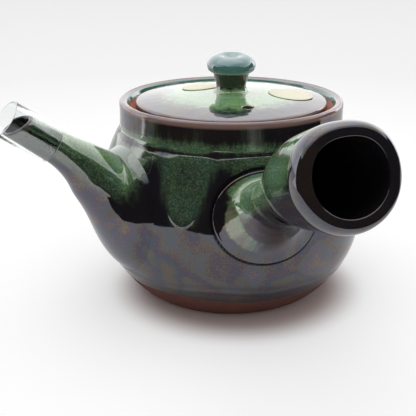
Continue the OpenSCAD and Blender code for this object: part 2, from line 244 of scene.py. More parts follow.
# %% Bowl
FOOT_R, BELLY_R, BELLY_Z, NECK_R, NECK_Z, WALL = 37.0, 54.0, 34.0, 44.2, 69.5, 4.0
COLLAR_R, RIM_Z, LIP_T, LEDGE_Z, THROAT_R, FLOOR_T = 45.0, 79.0, 3.0, 76.0, 36.0, 5.0
GALLERY_R, THROAT_END_Z, SHOULDER_R, FLOOR_R = COLLAR_R - LIP_T, 71.0, 39.2, 33.0
FINE_STEP, COARSE_STEP = 1.0, 1.8
LOW_ARC = ((BELLY_R - FOOT_R) ** 2 + BELLY_Z ** 2) / (2 * (BELLY_R - FOOT_R))
HIGH_ARC = ((BELLY_R - NECK_R) ** 2 + (NECK_Z - BELLY_Z) ** 2) / (2 * (BELLY_R - NECK_R))


def bowl_r(z, inset=0.0):
    """Radius of the bowl's outside, or of a wall set in from it, at a height."""
    z = np.asarray(z, float)
    low = BELLY_R - LOW_ARC + np.sqrt(np.maximum((LOW_ARC - inset) ** 2 - (BELLY_Z - z) ** 2, 0))
    high = BELLY_R - HIGH_ARC + np.sqrt(np.maximum((HIGH_ARC - inset) ** 2 - (z - BELLY_Z) ** 2, 0))
    return np.where(z < BELLY_Z, low, high)


def bowl_outline():
    outside = [(bowl_r(z), z, 0) for z in np.linspace(1.4, NECK_Z - 1.6, 84)]
    inside = [(bowl_r(z, WALL), z, 0) for z in np.linspace(NECK_Z - 0.1, FLOOR_T + 3.0, 34)]
    foot = [(0, 0, 0), (FOOT_R - 0.4, 0, 0.8)]
    collar = [(COLLAR_R - 0.4, NECK_Z - 0.8, 0.8), (COLLAR_R - 0.35, RIM_Z, 1.3), (GALLERY_R + 0.2, RIM_Z, 1.2)]
    ledge = [(GALLERY_R - 1.0, LEDGE_Z, 0.6), (THROAT_R, LEDGE_Z, 0.8), (THROAT_R, THROAT_END_Z, 1.2),
             (SHOULDER_R, THROAT_END_Z - 0.4, 0.5)]
    lining = inside + [(FLOOR_R, FLOOR_T, 2.0), (0, FLOOR_T, 0)]
    shell = rounded(foot + outside + collar + ledge + inside[:1])
    return spaced(shell, FINE_STEP) + spaced(rounded(lining), COARSE_STEP)[1:]


bowl = throw("thrown_bowl", bowl_outline(), steps=320, ring_depth=0.02, ring_pitch=9.0)

# %% Hole behind the spout
SPOUT_DIR, SPOUT_ROOT_Z, STRAINER_HOLE_R, CUT_FROM, CUT_TO = -163.0, 40.5, 13.0, 20, 70


def turn_by(angle, axis):
    return Matrix.Rotation(math.radians(angle), 4, axis)


def at_strainer():
    """Matrix whose +Z runs level from the bowl's axis towards the spout, in millimetres."""
    return turn_by(SPOUT_DIR, "Z") @ Matrix.Translation((0, 0, SPOUT_ROOT_Z)) @ turn_by(90, "Y")


def place(piece, matrix):
    """Moves a piece's mesh by a matrix in millimetres."""
    piece.data.transform(Matrix.Scale(MM, 4) @ matrix @ Matrix.Scale(1 / MM, 4))


def cut(piece, cutter):
    modifier = piece.modifiers.new("cut", "BOOLEAN")
    modifier.operation, modifier.object, modifier.solver = "DIFFERENCE", cutter, "EXACT"
    apply(piece, modifier)
    bpy.data.objects.remove(cutter)
    close_up(piece)


plug = throw("plug", [(0, CUT_FROM), (STRAINER_HOLE_R, CUT_FROM), (STRAINER_HOLE_R, CUT_TO), (0, CUT_TO)], 96)
place(plug, at_strainer())
cut(bowl, plug)

# %% [markdown]
# ## The lid and its knob
# The lid is a shallow dome with a skirt that drops into the throat, and it was thrown on the wheel too.
# Its steam hole was pushed through the soft clay, so the hole's upper edge is rounded: the cutter flares like a
# trumpet. The knob is a mushroom with a dimple, set a little askew, and slip fills the corner round its stem.

# %% Lid
LID_R, LID_EDGE_T, DOME_RISE, LID_T, SKIRT_R, SKIRT_T, SKIRT_DEPTH = 38.6, 2.6, 3.0, 3.4, 35.4, 3.0, 7
LID_TOP = LEDGE_Z + LID_EDGE_T + DOME_RISE
DOME_ARC = (LID_R ** 2 + DOME_RISE ** 2) / (2 * DOME_RISE)


def dome_z(r, inset=0.0):
    return LID_TOP - DOME_ARC + np.sqrt((DOME_ARC - inset) ** 2 - np.asarray(r, float) ** 2)


skirt_in_r, seat_z, skirt_z = SKIRT_R - SKIRT_T, LEDGE_Z + 0.02, LEDGE_Z - SKIRT_DEPTH
lid_corners = [(r, dome_z(r), 0) for r in np.linspace(0, LID_R - 1.6, 46)]
lid_corners += [(LID_R, dome_z(LID_R), 1.1), (LID_R, seat_z, 0.6), (SKIRT_R, seat_z, 0.4),
                (SKIRT_R, skirt_z, 1.0), (skirt_in_r, skirt_z, 1.0),
                (skirt_in_r, dome_z(skirt_in_r, LID_T), 1.2)]
lid_corners += [(r, dome_z(r, LID_T), 0) for r in np.linspace(skirt_in_r - 1.4, 0, 18)]
lid = throw("thrown_lid", spaced(rounded(lid_corners), 0.8), 240)

# %% Steam hole
VENT_R, VENT_AT, VENT_FLARE, PUNCH_FROM = 2.0, 24.5, 0.6, 70
vent_top = dome_z(VENT_AT)
flare = [(VENT_R + VENT_FLARE * (1 - math.cos(t)), vent_top - 0.55 + VENT_FLARE * math.sin(t))
         for t in np.radians(np.linspace(0, 90, 7))]
above_lid = [(VENT_R + VENT_FLARE, vent_top + 3), (0, vent_top + 3)]
punch = throw("punch", [(0, PUNCH_FROM), (VENT_R, PUNCH_FROM)] + flare + above_lid, 48)
square_to_dome = Matrix.Rotation(math.asin(VENT_AT / DOME_ARC), 4, "X")
punch.data.transform(Matrix.Translation((0, -VENT_AT * MM, vent_top * MM)) @ square_to_dome
                     @ Matrix.Translation((0, 0, -vent_top * MM)))
cut(lid, punch)

# %% Knob
KNOB_Z, CAP_R, CAP_TOP, CAP_UNDER, STEM_H = LID_TOP + 0.15, 9.7, 5.1, 2.2, 8.2
STEM_FOOT_R, FILLET, KNOB_SINK, DIMPLE, DIMPLE_R, KNOB_LEAN = 6.0, 2.6, -0.45, 2.2, 4.2, 0.1
LEAN_WAY = np.array([0.26, 0.97, 0])


def knob_outline():
    fillet = [(STEM_FOOT_R + FILLET * (1 - math.sin(t)), KNOB_SINK + FILLET * (1 - math.cos(t)))
              for t in np.radians(np.linspace(0, 90, 9))]
    stem = [(5.95 + 1.35 * t, 2.4 + 5.3 * t) for t in np.linspace(0, 1, 10)]
    cap_z = STEM_H + CAP_UNDER
    under = [(7.6 + 2.1 * math.cos(t), cap_z + 2.5 * math.sin(t)) for t in np.radians(np.linspace(-82, 0, 12))]
    over = []
    for t in np.radians(np.linspace(4, 90, 30)):
        r = CAP_R * math.cos(t) ** 0.92
        over.append((r, cap_z + CAP_TOP * math.sin(t) - DIMPLE * math.exp(-(r / DIMPLE_R) ** 2)))
    over[-1] = (0, over[-1][1])
    return [(0, KNOB_SINK)] + fillet + stem + under + over


def read(piece, key):
    """One vector for each point of a piece, as rows of numbers."""
    flat = np.zeros(len(piece.data.vertices) * 3)
    piece.data.vertices.foreach_get(key, flat)
    return flat.reshape(-1, 3)


def points_of(piece):
    return read(piece, "co") / MM


def set_points(piece, points):
    piece.data.vertices.foreach_set("co", (points * MM).astype(np.float32).ravel())
    piece.data.update()


def smoothstep(low, high, x):
    t = np.clip((x - low) / (high - low), 0, 1)
    return t * t * (3 - 2 * t)


knob = throw("luted_knob", [(r, KNOB_Z + z) for r, z in spaced(knob_outline(), 0.6)], 120)
p = points_of(knob)
p[:, 2] += KNOB_LEAN * (p @ LEAN_WAY) * smoothstep(6, 10, p[:, 2] - KNOB_Z)
set_points(knob, p)

# %% [markdown]
# ## Spout and handle
# Both are funnels that were pulled and bent by hand, then luted to the bowl where their flared roots lie on its
# curve. A curve with a bevel can't lie on the bowl, so rings of points are laid out instead: square to a bent
# axis at the free end, and on the bowl's own surface at the root, with a smooth blend between. Walls have an
# inside and an outside.

# %% Bent axes
AROUND = 120
RING = np.arange(AROUND) * math.tau / AROUND


def slope(tilt):
    return np.array([math.cos(math.radians(tilt)), math.sin(math.radians(tilt))])


def cubic(p, q, r, s, t):
    return (1 - t) ** 3 * p + 3 * t * (1 - t) ** 2 * q + 3 * t * t * (1 - t) * r + t ** 3 * s


class Bend:
    """An axis in an upright plane, bent from one slope to another."""

    def __init__(self, start, start_tilt, end, end_tilt):
        start, end = np.array(start, float), np.array(end, float)
        pull = 0.35 * np.linalg.norm(end - start)
        self.hold = [start, start + pull * slope(start_tilt), end - pull * slope(end_tilt), end]

    def at(self, t):
        return cubic(*self.hold, t)

    def tilt(self, t):
        p, q, r, s = self.hold
        way = 3 * (1 - t) ** 2 * (q - p) + 6 * t * (1 - t) * (r - q) + 3 * t * t * (s - r)
        return math.degrees(math.atan2(way[1], way[0]))


# %% Rings along an axis
def in_plane(turn, flat, side):
    """Points of an upright plane through the bowl's axis, moved sideways out of it."""
    c, s = math.cos(math.radians(turn)), math.sin(math.radians(turn))
    flat = np.broadcast_to(flat, (len(side), 2))
    return np.c_[flat[:, 0] * c - side * s, flat[:, 0] * s + side * c, flat[:, 1]]


def tube_ring(turn, at, tilt, r, lean=0.0):
    r = np.broadcast_to(r, RING.shape)
    way = slope(tilt + 90) - math.tan(math.radians(lean)) * slope(tilt)
    return in_plane(turn, np.asarray(at) + (r * np.sin(RING))[:, None] * way, r * np.cos(RING))


def root_ring(turn, z0, half_w, half_h, up):
    z = z0 + half_h * np.sin(RING)
    r = bowl_r(z)
    a = math.radians(turn) + half_w * np.cos(RING) / r
    up = np.broadcast_to(up, r.shape)
    return np.c_[(r + up) * np.cos(a), (r + up) * np.sin(a), z]


def flare_ring(turn, z0, axis, neck_t, r, half_w, half_h, up, low, high, full, t):
    """A ring between the neck and the root; low and high swell the underside and the upper side."""
    above = (1 + np.sin(RING)) / 2
    tilt, mid = axis.tilt(neck_t), axis.at(neck_t)
    pull = 0.8 - 0.5 * above
    back = mid - (pull * np.linalg.norm(mid - axis.hold[0]))[:, None] * slope(tilt)
    second = tube_ring(turn, back, tilt, r * 1.1)
    lift = up + low + (high - low) * above
    share = 0.72 + full * above
    third = root_ring(turn, z0, half_w * share, half_h * share, lift)
    return cubic(tube_ring(turn, mid, tilt, r), second, third, root_ring(turn, z0, half_w, half_h, up), t)


def soften(rings, passes):
    """Evens out kinks along a run of rings, with the first and last ones kept."""
    rings = np.array(rings)
    for _ in range(passes):
        rings[1:-1] = (rings[:-2] + 2 * rings[1:-1] + rings[2:]) / 4
    return list(rings)


def ring_faces(count, around):
    """Faces of a closed chain of rings."""
    return [(k * around + i, k * around + (i + 1) % around, (k + 1) % count * around + (i + 1) % around,
             (k + 1) % count * around + i) for k in range(count) for i in range(around)]


def chain(name, rings):
    return make_piece(name, np.concatenate(rings), ring_faces(len(rings), AROUND))


# %% Spout
TIP, TIP_TILT, TIP_R, SHANK_R, SPOUT_NECK_R, NECK_AT = np.array([88.5, 78.5]), 36.0, 5.6, 6.1, 11.0, 0.48
SPOUT_W, SPOUT_H, SWELL_LOW, SWELL_HIGH, UPPER_FULL, TIP_ROUND = 25.0, 24.5, 6.5, 7.0, 0.15, 0.6
TIP_WALL, NECK_WALL, ROOT_WALL, CUT_LEAN, SHANK_LEN, ROOT_TILT = 1.4, 2.7, 4.0, 26.0, 15.5, 84
# How much wider than the root each ring of its edge is, and how far off the bowl
SPOUT_EDGE = [(0.35, 0.15), (0.2, -0.6), (-ROOT_WALL, -0.6)]
SHANK = TIP - SHANK_LEN * slope(TIP_TILT)
spout_axis = Bend((bowl_r(SPOUT_ROOT_Z), SPOUT_ROOT_Z), ROOT_TILT, SHANK, TIP_TILT)


def spout_side(neck, shank, tip, half_w, half_h, up, steps):
    """Rings of one face of the spout, from the tip to the root."""
    rings = []
    for t in np.linspace(1, 0, steps):
        r = shank + (tip - shank) * t
        rings.append(tube_ring(SPOUT_DIR, SHANK + (TIP - SHANK) * t, TIP_TILT, r, CUT_LEAN * t))
    for t in np.linspace(1, 0, 2 * steps)[1:]:
        at, r = NECK_AT + (1 - NECK_AT) * t, shank + (neck - shank) * (1 - t) ** 1.5
        rings.append(tube_ring(SPOUT_DIR, spout_axis.at(at), spout_axis.tilt(at), r))
    for t in np.linspace(0, 1, 3 * steps)[1:]:
        rings.append(flare_ring(SPOUT_DIR, SPOUT_ROOT_Z, spout_axis, NECK_AT, neck, half_w, half_h, up,
                                SWELL_LOW, SWELL_HIGH, UPPER_FULL, t))
    return soften(rings, 14)


tip_way = in_plane(SPOUT_DIR, slope(TIP_TILT)[None, :], np.zeros(1))[0]
outer = spout_side(SPOUT_NECK_R, SHANK_R, TIP_R, SPOUT_W, SPOUT_H, up=0.5, steps=14)
inner = spout_side(SPOUT_NECK_R - NECK_WALL, SHANK_R - TIP_WALL, TIP_R - TIP_WALL, SPOUT_W - ROOT_WALL,
                   SPOUT_H - ROOT_WALL, up=0.0, steps=10)
skirt = [root_ring(SPOUT_DIR, SPOUT_ROOT_Z, SPOUT_W + w, SPOUT_H + w, up) for w, up in SPOUT_EDGE]
lip_mid = (inner[0] + outer[0]) / 2
lip = [lip_mid + (inner[0] - lip_mid) * math.cos(t) + TIP_ROUND * math.sin(t) * tip_way
       for t in np.linspace(0, math.pi, 7)[1:-1]]
spout = chain("luted_spout", outer + skirt + inner[::-1] + lip)
SPOUT_OUTER = len(outer)

# %% Handle
MOUTH, MOUTH_TILT, MOUTH_R, GRIP_R, GRIP_AT, WAIST_R, WAIST_AT = (123.5, 83.5), 18.0, 15.7, 15.0, 0.74, 9.2, 0.2
HANDLE_DIR, HANDLE_Z, HANDLE_W, HANDLE_H, EDGE_T, HANDLE_WALL, LIP = -90.0, 46.0, 19.0, 16.0, 1.2, 3.6, 4.8
HANDLE_TILT, LIP_ROUND, LIP_DEPTH, EDGE_OUT = 45, 2.7, 5.8, 0.95
# The raised, undercut edge of the root, as width added and height above the bowl
HANDLE_EDGE = [(0.5, 1.3), (0.85, 1.1), (EDGE_OUT, 0.8), (0.7, 0.6), (-0.4, 0.55), (-0.6, 0.1), (-0.6, -0.6),
               (-HANDLE_WALL, -0.6)]
rim_mid = np.array(MOUTH) - LIP / 2 * slope(MOUTH_TILT)
handle_axis = Bend((bowl_r(HANDLE_Z), HANDLE_Z), HANDLE_TILT, rim_mid, MOUTH_TILT)


def horn_r(t):
    if t < GRIP_AT:
        return WAIST_R + (GRIP_R - WAIST_R) * smoothstep(WAIST_AT, GRIP_AT, t)
    return GRIP_R + (MOUTH_R - GRIP_R) * smoothstep(GRIP_AT, 1, t)


def squeeze(t):
    """Two soft upper corners where the mouth was pinched, fading towards the waist."""
    def lobe(middle, width):
        off = (np.degrees(RING) - middle + 180) % 360 - 180
        return np.exp(-(off / width) ** 2)
    return 1 + smoothstep(0.45, 1.0, t) * (0.055 * lobe(48, 30) + 0.03 * lobe(138, 26) - 0.02 * lobe(92, 24))


def horn_ring(t, r):
    return tube_ring(HANDLE_DIR, handle_axis.at(t), handle_axis.tilt(t), r * squeeze(t))


def mouth_rings():
    """The mouth's edge: a wide round outside, a flat face and a crisp edge at the hole."""
    face = LIP / 2
    profile = [(MOUTH_R - LIP_ROUND * (1 - math.cos(t)), face - LIP_DEPTH * (1 - math.sin(t)))
               for t in np.radians(np.linspace(0, 86, 16))]
    profile += rounded([(MOUTH_R - 2.8, face, 0), (MOUTH_R - LIP, face, 0.5), (MOUTH_R - LIP, 0, 0)], 6)
    return [tube_ring(HANDLE_DIR, rim_mid + along * slope(MOUTH_TILT), MOUTH_TILT, r * squeeze(1.0))
            for r, along in profile]


def handle_flare(wall, up, steps):
    """Rings of the flared root, with the wall's thickness taken off."""
    return [flare_ring(HANDLE_DIR, HANDLE_Z, handle_axis, WAIST_AT, WAIST_R - wall, HANDLE_W - wall,
                       HANDLE_H - wall, up, 0, 0, 0, t) for t in np.linspace(0, 1, steps)[1:]]


def wall_at(t):
    return HANDLE_WALL + (LIP - HANDLE_WALL) * (t - WAIST_AT) / (1 - WAIST_AT)


span = np.linspace(0.95, WAIST_AT, 40)
lip = mouth_rings()
outer = soften([lip[0]] + [horn_ring(t, horn_r(t)) for t in span] + handle_flare(0, EDGE_T, 34), 10)
inner = [horn_ring(t, horn_r(t) - wall_at(t)) for t in span] + handle_flare(HANDLE_WALL, 0, 16)
edge = [root_ring(HANDLE_DIR, HANDLE_Z, HANDLE_W + w, HANDLE_H + w, up) for w, up in HANDLE_EDGE]
handle = chain("luted_handle", outer + edge + inner[::-1] + lip[:0:-1])
HANDLE_OUTER = len(outer)

# %% [markdown]
# ## Small pieces: labels, sleeve and strainer
# Two bare paper labels follow the lid's dome. A clear vinyl sleeve guards the spout's tip. Inside, a steel
# strainer sits in the hole behind the spout. Its dome is punched with rings of round holes, which is a job for
# Geometry Nodes: one punch is instanced on rings of points, and a Mesh Boolean node takes all of them out of the
# dome at once.

# %% Labels
LABEL_T, GLUE_T = 0.22, 0.05


def moved(points, matrix):
    m = np.array(matrix)
    return np.asarray(points) @ m[:3, :3].T + m[:3, 3]


def paper_label(name, turn, at, half_r, half_t, curl, rings=10, steps=72):
    """A thin oval sheet on the dome; curl lifts its outer edge."""
    points, faces = [], []
    for lift in (0.0, LABEL_T):
        for k in range(1, rings + 1):
            for a in (i * math.tau / steps for i in range(steps)):
                x, y = at + half_r * k / rings * math.cos(a), half_t * k / rings * math.sin(a)
                rise = GLUE_T + lift + curl * (k / rings) ** 6 * max(0, math.cos(a - 0.6))
                points.append((x, y, dome_z(math.hypot(x, y)) + rise))
        points.append((at, 0, dome_z(at) + GLUE_T + lift))
    layer, rim = rings * steps + 1, (rings - 1) * steps
    around = [(i, (i + 1) % steps) for i in range(steps)]
    for base in (0, layer):
        for row in range(base, base + rim, steps):
            faces += [(row + i, row + steps + i, row + steps + j, row + j) for i, j in around]
        faces += [(base + layer - 1, base + i, base + j) for i, j in around]
    faces += [(rim + i, rim + j, layer + rim + j, layer + rim + i) for i, j in around]
    return make_piece(name, moved(points, turn_by(HANDLE_DIR + turn, "Z")), faces)


round_label = paper_label("paper_label_round", turn=74, at=24, half_r=9.0, half_t=9.5, curl=0.25)
oval_label = paper_label("paper_label_oval", turn=-148, at=16.5, half_r=7.0, half_t=9.5, curl=0.15)

# %% Sleeve
SLEEVE_IN, SLEEVE_T, SLEEVE_OVER, SLEEVE_PAST, CUT_EDGE = SHANK_R + 0.3, 0.6, 14.5, 5.5, 0.25


def band(name, inner_r, outer_r, low, high, matrix, steps=96):
    """A short tube with rounded edges, turned round Z and then moved into place."""
    corners = [(inner_r, low), (outer_r, low), (outer_r, high), (inner_r, high)]
    outline = rounded([corner + (CUT_EDGE,) for corner in corners])
    turns = np.radians(np.arange(steps) * 360 / steps)
    points = [(r * math.cos(t), r * math.sin(t), z) for r, z in outline for t in turns]
    return make_piece(name, moved(points, matrix), ring_faces(len(outline), steps))


tip_spot = in_plane(SPOUT_DIR, TIP[None, :], np.zeros(1))[0]
on_tip = Matrix.Translation(tip_spot) @ turn_by(SPOUT_DIR, "Z") @ turn_by(90 - TIP_TILT, "Y")
sleeve = band("clear_sleeve", SLEEVE_IN, SLEEVE_IN + SLEEVE_T, -SLEEVE_OVER, SLEEVE_PAST, on_tip)
along = (points_of(sleeve) - np.array(on_tip.translation)) @ tip_way
cut_end = 1 - smoothstep(0.05, 0.2, np.minimum(along + SLEEVE_OVER, SLEEVE_PAST - along))
sleeve.data.attributes.new("cut_end", "FLOAT", "POINT").data.foreach_set("value", cut_end.astype(np.float32))

# %% Strainer ring
RING_LEN, RING_IN_R, RING_OUT_R, RING_INSET = 5.0, 12.05, 12.85, 0.45
strainer_out = math.sqrt(bowl_r(SPOUT_ROOT_Z) ** 2 - STRAINER_HOLE_R ** 2) - RING_INSET
strainer_at = strainer_out - RING_LEN
strainer_ring = band("steel_strainer_ring", RING_IN_R, RING_OUT_R, strainer_at, strainer_out, at_strainer())

# %% Strainer dome
DOME_BASE, DOME_H, SHEET_T, HOLE_R, HOLE_PITCH, HOLE_RINGS, PUNCH_LEN = 11.9, 6.5, 0.5, 0.7, 2.4, 4, 40


def build_punching():
    tree, ins = new_tree("punched_dome", [
        ("Dome", "Geometry"), ("Hole Radius", "Float"), ("Pitch", "Float"), ("Depth", "Float"),
        ("Steel", "Material")], "Strainer")
    tool = put(tree, "GeometryNodeMeshCylinder", {
        "Vertices": 14, "Radius": ins["Hole Radius"], "Depth": ins["Depth"]}).outputs["Mesh"]
    gather = put(tree, "GeometryNodeJoinGeometry", {})
    rings = [put(tree, "GeometryNodeMeshLine", {"Count": 1})]
    for k in range(1, HOLE_RINGS + 1):
        reach = calc(tree, "MULTIPLY", ins["Pitch"], float(k))
        rings.append(put(tree, "GeometryNodeMeshCircle", {"Vertices": 6 * k, "Radius": reach}))
    for ring in rings:
        tree.links.new(ring.outputs["Mesh"], gather.inputs[0])
    spots = out(tree, "GeometryNodeMeshToPoints", {"Mesh": gather.outputs[0]})
    rows = out(tree, "GeometryNodeInstanceOnPoints", {"Points": spots, "Instance": tool})
    tools = out(tree, "GeometryNodeRealizeInstances", {"Geometry": rows})
    holed = put(tree, "GeometryNodeMeshBoolean", {}, operation="DIFFERENCE", solver="EXACT")
    tree.links.new(ins["Dome"], holed.inputs["Mesh 1"])
    tree.links.new(tools, holed.inputs["Mesh 2"])
    return end_tree(tree, holed.outputs[0], ins["Steel"], "Strainer")


dome_radius = (DOME_BASE ** 2 + DOME_H ** 2) / (2 * DOME_H)
back_radius = dome_radius - SHEET_T
sweep = np.linspace(0, math.asin(DOME_BASE / dome_radius), 26)
skin = [(dome_radius * math.sin(t), dome_radius * (1 - math.cos(t))) for t in sweep]
back = [(back_radius * math.sin(t), dome_radius - back_radius * math.cos(t)) for t in sweep[::-1]]
dome = throw("dome_blank", skin + back, 96)
strainer_mesh = run_tree(build_punching(), dome.data.copy(), "steel_strainer_dome", {
    "Hole Radius": HOLE_R * MM, "Pitch": HOLE_PITCH * MM, "Depth": PUNCH_LEN * MM, "Steel": stand_in})
bpy.data.objects.remove(dome)
place(strainer_mesh, at_strainer() @ Matrix.Translation((0, 0, strainer_at + RING_LEN / 2 - DOME_H)))

# %% [markdown]
# ## Where each glaze lies
# The pot was dipped in a dark lustre glaze, and a speckled green one was poured over its upper half and ran down
# in drips. The foot, the ledge and the lid's seat were wiped bare. A painted mask would need an image, so each mesh
# carries numbers: millimetres inside the green, inside the bare clay and inside a painted shadow line, how thin the
# glaze is, how much painted light the green gets (higher numbers turn it teal), and a flow vector down the wall,
# which streaks follow.

# %% Glaze numbers on a mesh
# Numbers this low keep a glaze off; the bowl's is lower because its zones are larger
OFF, BOWL_OFF = -20.0, -30.0


def set_numbers(piece, green, thin, lit_or_teal, flow, clay=OFF, root_shadow=OFF):
    mesh = piece.data
    for key, values in (("green", green), ("clay", clay), ("thin", thin), ("lit_or_teal", lit_or_teal), ("root_shadow", root_shadow)):
        values = np.broadcast_to(values, len(mesh.vertices)).astype(np.float32)
        mesh.attributes.new(key, "FLOAT", "POINT").data.foreach_set("value", values)
    flow = (np.asarray(flow) * MM).astype(np.float32).ravel()
    mesh.attributes.new("flow", "FLOAT_VECTOR", "POINT").data.foreach_set("vector", flow)
    print(piece.name, "under green glaze:", round(float(np.mean(green > 0)), 2))


def from_axis(p):
    return np.hypot(p[:, 0], p[:, 1])


def waves(turn, count, start=0):
    """A wavy line round the pot, with a count of waves in one turn."""
    return np.sin(np.radians(count * turn + start))


def hump(x, middle, width):
    return np.exp(-((x - middle) / width) ** 2)


# %% Drips of the green glaze
dice = np.random.default_rng(7)
# Direction of each drip, height of its end, and how fast it widens upwards
DRIPS = [(-124.0, 41.5, 0.115), (-152.0, 52.0, 0.2), (-92.0, 58.0, 0.03)]
DRIPS += [(a + dice.uniform(-7, 7), dice.uniform(42, 57), dice.uniform(0.05, 0.16)) for a in range(-58, 185, 22)]
POUR_Z, DRIP_BLEND = 63.0, 2.0


def green_edge(turn):
    """Height at which the green glaze stops on the bowl, by direction, and that edge's steepness."""
    def height(a):
        edges = [POUR_Z + 1.0 * waves(a, 3, 40)]
        edges += [end + widen * ((a - middle + 180) % 360 - 180) ** 2 for middle, end, widen in DRIPS]
        return -DRIP_BLEND * np.log(np.sum([np.exp(-e / DRIP_BLEND) for e in edges], axis=0))
    return height(turn), (height(turn + 0.5) - height(turn - 0.5)) / math.radians(BELLY_R)


# %% Numbers on the bowl
COLLAR_FOOT_Z, COLLAR_BARE_Z, CORNER_Z, CORNER_W, PAINTED_CORNER_SHADE = 69, 73.5, 67.2, 1.5, -1.8
FOOT_LINE_Z, ROLL_UP, LEDGE_CLAY_Z, INNER_WALL_Z, SHADOW_LINE_HALF, SHADOW_LINE_OUT = 10.0, 5.0, 76.4, 76.3, 0.65, 0.4
p = points_of(bowl)
z, r = p[:, 2], from_axis(p)
turn = np.degrees(np.arctan2(p[:, 1], p[:, 0]))
wall_r = bowl_r(np.clip(z, 0, NECK_Z))
outside = r > np.where(z < NECK_Z, wall_r - 1.2, COLLAR_R - 1.4)
gallery = (z > THROAT_END_Z - 0.5) & (r < GALLERY_R + 0.6)
edge_z, steep = green_edge(turn)
green = np.where(outside, np.clip((z - edge_z) / np.hypot(1, steep), BOWL_OFF, 12), BOWL_OFF)
on_collar = 2.2 - 4.0 * smoothstep(COLLAR_FOOT_Z, COLLAR_BARE_Z, z)
green = np.minimum(green, np.where(z > COLLAR_FOOT_Z, on_collar, -BOWL_OFF))
# Painted shade: a dark band of lustre in the corner under the collar
green += (np.minimum(green, PAINTED_CORNER_SHADE) - green) * hump(z, CORNER_Z + 0.3 * waves(turn, 3), CORNER_W)
foot_line = FOOT_LINE_Z + 0.7 * waves(turn, 2, 20) + 0.5 * waves(turn, 5)
roll_line = foot_line + ROLL_UP + 0.8 * waves(turn, 4, 100) + 0.4 * waves(turn, 9)
clay = np.where(outside | (z < 3), foot_line - z, BOWL_OFF)
clay = np.where(gallery, LEDGE_CLAY_Z - z + 0.2 * waves(turn, 7), clay)
# Painted shadow: a black line on the bowl along the edge of the handle's root
root_h = HANDLE_H + EDGE_OUT
aside = np.radians(turn - HANDLE_DIR) * wall_r
from_root = (np.hypot(aside / (HANDLE_W + EDGE_OUT), (z - HANDLE_Z) / root_h) - 1) * root_h
root_shadow = np.where(outside & (p[:, 1] < 0), SHADOW_LINE_HALF - np.abs(from_root - SHADOW_LINE_OUT), OFF)
# On the rim the glaze pulls thin, and the shaded clay of the ledge is painted a lighter, warmer red as painted
# light
thin = 0.75 * smoothstep(76.9, 77.6, z) * smoothstep(42.4, 43.0, r)
thin = np.where(gallery & (z < LEDGE_CLAY_Z + 0.2), 1.0, thin)
# Painted reflection: inside the collar, down to the ledge, the wall gets a pale teal colour; the shoulder gets a
# little painted light
inner_wall = (z > INNER_WALL_Z) & (r > GALLERY_R - 1.5) & (r < GALLERY_R + 0.6)
green = np.where(inner_wall, 6.0, green)
lit_or_teal = np.where(inner_wall, 1.75, 0.16 * smoothstep(62, 70, z))
around = np.radians(turn)
flow = np.c_[BELLY_R * np.cos(around), BELLY_R * np.sin(around), z * 0.12]
set_numbers(bowl, green, thin, lit_or_teal, flow, clay, root_shadow)

# %% Thickness of the glaze on the bowl
# The lustre ends above the foot in a roll, and both glazes stand a little proud of the clay
roll = 0.3 * hump(z, roll_line, 0.9) + 0.25 * smoothstep(0, 4, z - roll_line)
layer = 0.15 * smoothstep(-3, 4, green) + roll + 0.18 * smoothstep(0, 0.9, -clay)
set_points(bowl, p + read(bowl, "normal") * np.where(outside, layer, 0)[:, None])

# %% Numbers on the lid and the knob
LID_GREEN_R, CAP_EDGE_Z = 28.0, 7.3
p = points_of(lid)
r = from_axis(p)
on_top = p[:, 2] > dome_z(np.minimum(r, LID_R)) - 0.9
vent = (from_axis(p + (0, VENT_AT, 0)) < VENT_R + 0.45) & (p[:, 2] < vent_top - 0.1)
bare = np.where(vent, 2, np.where(on_top | (r < 30), OFF, LEDGE_Z + 0.9 - p[:, 2]))
# Painted light on the lid's top: a paler green, a little less so towards the edge
set_numbers(lid, np.where(on_top & ~vent, 0.45 * (LID_GREEN_R - r), OFF), 0.7 * smoothstep(37.4, 38.4, r) * on_top,
            0.97 - 0.25 * smoothstep(24, 32, r), p * (1, 1, 0), bare)
p = points_of(knob)
height, r = p[:, 2] - KNOB_Z, from_axis(p)
green = np.where(height < 2.2, (2.0 - height) * 2, -4)
green = np.where(height > CAP_EDGE_Z, (height - CAP_EDGE_Z) * 3, green)
# The knob's cap is teal, and its foot gets painted light, a paler green
set_numbers(knob, green, 0.2 * smoothstep(8.9, 9.6, r) * (height > 7),
            2.0 * smoothstep(7.2, 8.6, height) + 0.8 * (height < 3), np.c_[p[:, :2], height * 0.2])


# %% Numbers on spout and handle
def along_rings(piece, outer_rings):
    """Ring number, angle, being outside and share of the length of each point, in the chain's order."""
    total = len(piece.data.vertices) // AROUND
    ring = np.repeat(np.arange(total), AROUND)
    return ring, np.tile(RING, total), ring < outer_rings, np.clip(ring / outer_rings, 0, 1)


ring, angle, outside, share = along_rings(spout, SPOUT_OUTER)
limit = np.interp(share, [0, 0.25, 0.45, 0.6, 0.75, 1.0], [-0.7, -0.6, -0.5, -0.15, 0.42, 0.75])
# Painted light on the spout's upper side, fading out near the root: a paler green
set_numbers(spout, np.where(outside, 9 * (np.sin(angle) - limit), OFF), np.where(ring < 2, 0.5, 0) * outside,
            0.7 * smoothstep(0, 0.9, np.sin(angle)) * smoothstep(0.95, 0.6, share),
            np.c_[10 * np.cos(angle), 10 * np.sin(angle), 12 * share])
ring, angle, outside, share = along_rings(handle, HANDLE_OUTER)
limit = np.interp(share, [0, 0.1, 0.5, 0.7, 0.85, 1.0], [0.1, -0.2, -0.3, -0.2, 0.35, 0.85])
